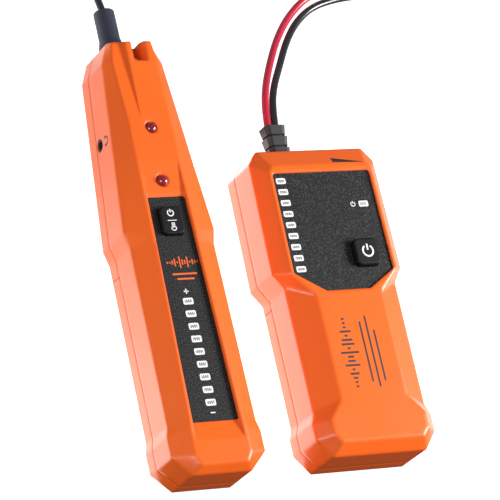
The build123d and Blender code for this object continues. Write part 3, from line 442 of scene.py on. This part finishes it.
def make_leads():
    """Each lead is one line: out of the strain relief, over the floor, round its coil and on to its clip."""
    for colour, route in (("red", RED_ROUTE), ("black", BLACK_ROUTE)):
        x, y, _ = centre_mm(f"{colour}_lead_coil")
        low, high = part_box(f"{colour}_lead_coil")
        outside = (high.x - low.x) / 2 / MM
        turns = coil_points((x, y), outer=outside - 1.75, inner=outside - 5.05, over=5.0)
        side = x + outside - 3.2
        tail = [
            (side + 0.3, y + 6.0, 4.9), (side + 0.3, y + 11.0, 3.4),
            (side, y + 15.0, 2.4), (side, y + 19.0, 2.2),
        ]
        lead = lead_curve(f"{colour}_clip_lead", route + turns + tail, f"lead_{colour}")
        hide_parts(f"{colour}_lead", f"{colour}_lead_coil", f"{colour}_lead_tail")
        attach(lead, "transmitter")


# ---------------------------------------------------------------- printed marks

def flat_piece(name, ink, body, outlines, surface, lift=0.04):
    """Thin ink outlines, in mm, laid a little above a flat face at height surface (metres)."""
    mesh = bpy.data.meshes.new(name)
    form = bmesh.new()
    for outline in outlines:
        ring = [form.verts.new((x * MM, y * MM, surface + lift * MM)) for x, y in outline]
        form.faces.new(ring)
    bmesh.ops.triangulate(form, faces=form.faces[:])
    bmesh.ops.recalc_face_normals(form, faces=form.faces[:])
    for face in form.faces:
        if face.normal.z < 0:
            face.normal_flip()
    form.to_mesh(mesh)
    form.free()
    return printed(name, mesh, ink, body)


def printed(name, mesh, ink, body):
    """The object of a printed mark, which rides on its body."""
    mesh.materials.append(finishes[ink])
    piece = bpy.data.objects.new(name, mesh)
    bpy.context.scene.collection.objects.link(piece)
    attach(piece, body)
    return piece


def arc_band(centre, radius, width, start, stop, steps=28):
    """Outlines of short pieces of a band along an arc, from start to stop in degrees."""
    inside, outside = radius - width / 2, radius + width / 2
    quads = []
    for n in range(steps):
        a, b = (math.radians(start + (stop - start) * k / steps) for k in (n, n + 1))
        quads.append([
            (centre[0] + r * math.cos(t), centre[1] + r * math.sin(t))
            for r, t in ((inside, a), (outside, a), (outside, b), (inside, b))
        ])
    return quads


def bar(x0, y0, x1, y1, width):
    """Outline of a straight bar from one point to another."""
    run = Vector((x1 - x0, y1 - y0)).normalized() * width / 2
    across, up = -run.y, run.x
    return [(x0 + across, y0 + up), (x0 - across, y0 - up), (x1 - across, y1 - up), (x1 + across, y1 + up)]


def soft_rectangle(x, y, width, height, corner, steps=5):
    """Outline of a rectangle about x, y with round corners."""
    outline = []
    for cx, cy, start in ((1, 1, 0), (-1, 1, 90), (-1, -1, 180), (1, -1, 270)):
        for n in range(steps + 1):
            angle = math.radians(start + 90 * n / steps)
            outline.append((x + cx * (width / 2 - corner) + corner * math.cos(angle),
                            y + cy * (height / 2 - corner) + corner * math.sin(angle)))
    return outline


def power_sign(x, y, radius, width):
    """A ring open at the top with a short bar through the gap."""
    gap = 64
    ring = arc_band((x, y), radius, width, 90 + gap / 2, 450 - gap / 2)
    return ring + [bar(x, y + radius * 0.15, x, y + radius * 1.28, width)]


def torch_sign(x, y, size):
    """A torch seen from the side: a ribbed handle over a rounded lamp."""
    width = size * 0.62
    handle, lamp = width * 0.36, width * 0.62    # half widths
    ribs = [
        bar(x - handle, y + size * place, x + handle, y + size * place, size * 0.11)
        for place in (0.16, 0.34, 0.52, 0.70)
    ]
    rim = arc_band((x, y - size * 0.02), lamp, size * 0.13, 180, 360)
    collar = [bar(x - lamp, y + size * 0.08, x + lamp, y + size * 0.08, size * 0.13)]
    sides = [
        bar(edge, y + size * 0.1, edge, y + size * 0.75, size * 0.07) for edge in (x - handle, x + handle)
    ]
    return ribs + rim + collar + sides


def tone_wave(x, y, width, height, bars):
    """A burst of tone as upright bars that swell towards the middle, some long and some short."""
    shortest = 0.16
    pitch = width / bars
    marks = []
    for n in range(bars):
        share = (n + 0.5) / bars
        swell = math.sin(math.pi * share) * (0.55 + 0.45 * math.cos(n * 2.4))
        tall = max(shortest, abs(swell)) * height
        marks.append(soft_rectangle(x + width * (share - 0.5), y, pitch * 0.52, tall, pitch * 0.2, 3))
    return marks


def turned(outlines, centre, degrees):
    """The same outlines turned about a centre."""
    c, s = math.cos(math.radians(degrees)), math.sin(math.radians(degrees))
    cx, cy = centre
    return [
        [(cx + (x - cx) * c - (y - cy) * s, cy + (x - cx) * s + (y - cy) * c) for x, y in outline]
        for outline in outlines
    ]


BAR_COUNT = 9
RECEIVER_BAR, TRANSMITTER_BAR = 2.9, 2.7     # height of one white bar, in mm
TICK_COUNT = 7


def bar_hatch(node, bar_height, width, height):
    """Fine slanted ticks on each white bar, with a thin line across them."""
    x, _, _ = centre_mm(node)
    low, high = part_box(node)
    step = ((high.y - low.y) / MM - bar_height) / (BAR_COUNT - 1)
    marks = []
    for n in range(BAR_COUNT):
        y = high.y / MM - bar_height / 2 - n * step
        for k in range(TICK_COUNT):
            tick_x = x + width * ((k + 0.5) / TICK_COUNT - 0.5)
            lean = 0.22 if (k + n) % 2 else -0.16
            marks.append(bar(tick_x - lean, y - height / 2, tick_x + lean, y + height / 2, 0.20))
        left, right = (0.2, -0.1) if n % 2 else (-0.25, 0.2)
        marks.append(bar(x - width / 2, y + left, x + width / 2, y + right, 0.16))
    return marks


def print_receiver():
    """White signs on the button and by the bars, an orange tone mark on the film, and print on the bars."""
    x, y, _ = centre_mm("receiver_button")
    signs = power_sign(x - 0.3, y + 3.1, radius=1.35, width=0.5)
    signs += [bar(x - 2.3, y - 0.25, x + 1.9, y - 0.25, 0.32)]
    signs += torch_sign(x - 0.1, y - 3.5, size=3.0)
    flat_piece("receiver_button_signs", "white_ink", "receiver_button", signs, top_of("receiver_button"))

    film = top_of("receiver_panel")
    x, _, _ = centre_mm("receiver_level_windows")
    low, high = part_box("receiver_level_windows")
    plus_y, minus_y = high.y / MM + 2.9, low.y / MM - 3.0
    reach = 1.1
    plus = [bar(x - reach, plus_y, x + reach, plus_y, 0.5), bar(x, plus_y - reach, x, plus_y + reach, 0.5)]
    minus = [bar(x - reach, minus_y, x + reach, minus_y, 0.5)]
    flat_piece("receiver_level_signs", "white_ink", "receiver", plus + minus, film)

    x, y = 1.2, -5.0
    wave = tone_wave(x, y, width=15.0, height=5.6, bars=13)
    wave += [soft_rectangle(x, y - 5.2, 11.5, 0.75, 0.3), soft_rectangle(x, y - 7.4, 8.0, 0.75, 0.3)]
    flat_piece("receiver_tone_mark", "orange_ink", "receiver", wave, film)
    hatch = bar_hatch("receiver_level_windows", RECEIVER_BAR, 3.3, 1.5)
    flat_piece("receiver_bar_print", "grey_ink", "receiver", hatch, film, 0.05)


def print_transmitter():
    """White power signs, print on the bars and the lamp's window, and a black tone mark along the grip."""
    film = top_of("transmitter_panel")
    x, y, _ = centre_mm("transmitter_button")
    sign = power_sign(x + 0.2, y + 0.1, radius=2.45, width=0.78)
    button_top = top_of("transmitter_button")
    flat_piece("transmitter_button_sign", "white_ink", "transmitter_button", sign, button_top)
    x, y, _ = centre_mm("transmitter_power_window")
    sign = power_sign(x - 5.2, y, radius=1.0, width=0.36)
    flat_piece("transmitter_power_sign", "white_ink", "transmitter", sign, film)
    hatch = bar_hatch("transmitter_level_windows", TRANSMITTER_BAR, 3.2, 1.3)
    flat_piece("transmitter_bar_print", "grey_ink", "transmitter", hatch, film, 0.05)
    ticks = [bar(x - 1.5 + k * 0.5, y - 0.6, x - 1.3 + k * 0.5, y + 0.6, 0.2) for k in range(6)]
    flat_piece("transmitter_power_print", "grey_ink", "transmitter", ticks, film, 0.05)

    x, y = 73.2, -50.5
    wave = tone_wave(x, y + 5.2, width=32.0, height=9.0, bars=17)
    wave += [soft_rectangle(x, y - 2.6, 27.0, 0.9, 0.4), soft_rectangle(x, y - 5.6, 32.0, 0.9, 0.4),
             soft_rectangle(x - 2, y - 8.6, 23.0, 0.9, 0.4)]
    mark = turned(wave, (x, y), 90)
    flat_piece("transmitter_tone_mark", "black_ink", "transmitter", mark, top_of("transmitter_front_shell"))


def laid_on_surface(name, ink, body, node, outlines, toward, lift=0.05):
    """Ink outlines pressed onto a sloping face: each point, in mm, is dropped along toward onto the node."""
    target = nodes[node]
    mesh = bpy.data.meshes.new(name)
    form = bmesh.new()
    along = Vector(toward)
    run_up = 20 * MM
    for outline in outlines:
        ring = []
        for place in outline:
            start = Vector([c * MM for c in place]) - along * run_up
            hit, spot, normal, _ = target.ray_cast(start, along)
            ring.append(form.verts.new(spot + normal * lift * MM if hit else start))
        form.faces.new(ring)
    form.to_mesh(mesh)
    form.free()
    return printed(name, mesh, ink, body)


def print_sloping_marks():
    """A wedge for the level wheel on the transmitter's top slope, and a headphone sign by the socket."""
    slices = 12
    left, length, above = 82.0, 14.6, 31
    shares = [n / slices for n in range(slices + 1)]
    upper = [(left + length * share, 38.5 - 2.9 * share, above) for share in shares]
    lower = [(left + length * share, 35.9 - 0.45 * share, above) for share in shares]
    wedge = [[upper[n], upper[n + 1], lower[n + 1], lower[n]] for n in range(slices)]
    laid_on_surface("transmitter_level_wedge", "black_ink", "transmitter", "transmitter_front_shell", wedge,
                    (0, 0, -1))

    beside = -24.0
    _, y, z = centre_mm("receiver_earphone_jack")
    y, z = y - 0.4, z + 4.6
    radius = 1.7
    sign = arc_band((y, z), radius, 0.62, 0, 180, 12)
    sign += [soft_rectangle(y + side * radius, z - 0.7, 1.05, 1.8, 0.3, 3) for side in (-1, 1)]
    outlines = [[(beside, py, pz) for py, pz in outline] for outline in sign]
    laid_on_surface("receiver_headphone_sign", "black_ink", "receiver", "receiver_front_shell", outlines,
                    (1, 0, 0))


# ---------------------------------------------------------------- bendable neck and its boot

NECK_D = 3.1 * MM
NECK_STEP = 0.5 * MM
IN_BOOT, IN_TIP = 5 * MM, 1.5 * MM   # how far the neck's line goes on into the boot, and into the tip
EASING_ROUNDS = 60


def smooth_piece(name, form, slot):
    """The object of a finished bmesh, shaded smooth, in its slot's finish."""
    bmesh.ops.recalc_face_normals(form, faces=form.faces[:])
    mesh = bpy.data.meshes.new(name)
    form.to_mesh(mesh)
    form.free()
    mesh.shade_smooth()
    mesh.materials.append(finishes[slot])
    piece = bpy.data.objects.new(name, mesh)
    bpy.context.scene.collection.objects.link(piece)
    return piece


def swept_tube(name, points, radius, slot, sides=20):
    """A round tube along the points."""
    form = bmesh.new()
    rings = []
    for n, place in enumerate(points):
        before, after = points[max(0, n - 1)], points[min(len(points) - 1, n + 1)]
        way = (after - before).normalized()
        across = way.cross(Vector((0, 0, 1))).normalized()
        over = across.cross(way)
        ring = []
        for k in range(sides):
            angle = 2 * math.pi * k / sides
            ring.append(form.verts.new(place + (across * math.cos(angle) + over * math.sin(angle)) * radius))
        rings.append(ring)
    for low, high in zip(rings, rings[1:]):
        for k in range(sides):
            form.faces.new((low[k], low[(k + 1) % sides], high[(k + 1) % sides], high[k]))
    form.faces.new(list(reversed(rings[0])))
    form.faces.new(rings[-1])
    return smooth_piece(name, form, slot)


def neck_line():
    """Points along the neck, from inside the boot to inside the tip, eased at both bends, and its hinges."""
    joints = {j["name"]: Vector(j["pos_m"]) for j in frame["joints"] if j["name"].startswith("neck")}
    bends = [joints["neck_bend_sideways"], joints["neck_bend_up"]]
    low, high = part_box("receiver_probe_boot")
    mouth = Vector(((low.x + high.x) / 2, high.y, (low.z + high.z) / 2))
    root = mouth + (mouth - bends[0]).normalized() * IN_BOOT
    low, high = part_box("receiver_probe_neck_end")
    way = (low + high) / 2 - bends[1]
    end = bends[1] + way.normalized() * (high.y - bends[1].y + IN_TIP)
    corners = [root, *bends, end]
    places = []
    for a, b in zip(corners, corners[1:]):
        count = int((b - a).length / NECK_STEP)
        places += [a.lerp(b, k / count) for k in range(count)]
    places.append(end)
    for _ in range(EASING_ROUNDS):
        eased = [(p + q + r) / 3 for p, q, r in zip(places, places[1:], places[2:])]
        places = [places[0]] + eased + [places[-1]]
    return places, bends


def make_neck():
    """The smooth sheath of the neck, in two lengths that meet halfway between the bends."""
    places, (first, second) = neck_line()
    halfway = (first + second) / 2
    split = min(range(len(places)), key=lambda n: (places[n] - halfway).length)
    for name, part, bodies, bend, covers in (
        ("probe_neck_sheath_lower", places[:split + 1], ("receiver", "probe_neck"), first,
         ("receiver_probe_neck_base", "receiver_probe_neck_middle")),
        ("probe_neck_sheath_upper", places[split:], ("probe_neck", "probe_tip"), second,
         ("receiver_probe_neck_end",)),
    ):
        sheath = swept_tube(name, part, NECK_D / 2, "neck_sheath")
        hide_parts(*covers)
        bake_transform(sheath)


def make_boot():
    """The probe's rubber boot: a sleeve on a flared collar, with a soft rim at its mouth."""
    x, z = (c * MM for c in centre_mm("receiver_probe_boot")[::2])
    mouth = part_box("receiver_probe_boot")[1].y / MM + 1.5
    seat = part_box("receiver_front_shell")[1].y / MM
    plug, collar, sleeve = 3.4, 5.9, 4.55
    profile = [                      # radius, and place along the probe, in mm
        (0.0, seat - 1.9), (plug, seat - 1.9), (plug, seat + 0.03),
        (collar, seat + 0.03), (collar, seat + 1.6), (5.72, seat + 2.0),
        (4.95, seat + 5.4), (4.75, seat + 6.0), (4.62, seat + 6.5),
        (sleeve, mouth - 1.0), (4.4, mouth - 0.45), (4.0, mouth - 0.1), (3.5, mouth),
        (2.0, mouth), (1.75, mouth - 0.2), (1.6, mouth - 1.2), (0.0, mouth - 1.2),
    ]
    sides = 64
    angles = [2 * math.pi * k / sides for k in range(sides)]
    form = bmesh.new()
    rings = []
    for radius, y in profile:
        if radius == 0.0:
            rings.append([form.verts.new((x, y * MM, z))])
            continue
        rings.append([
            form.verts.new((x + radius * MM * math.cos(angle), y * MM, z + radius * MM * math.sin(angle)))
            for angle in angles
        ])
    for inner, outer in zip(rings, rings[1:]):
        for k in range(sides):
            n = (k + 1) % sides
            if len(inner) == 1:
                form.faces.new((inner[0], outer[k], outer[n]))
            elif len(outer) == 1:
                form.faces.new((inner[k], inner[n], outer[0]))
            else:
                form.faces.new((inner[k], inner[n], outer[n], outer[k]))
    boot = smooth_piece("probe_boot", form, "boot_rubber")
    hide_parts("receiver_probe_boot")
    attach(boot, "receiver")


make_camera()
make_studio()
dress_cad_pieces()
make_boot()
make_leads()
make_neck()
print_receiver()
print_transmitter()
print_sloping_marks()
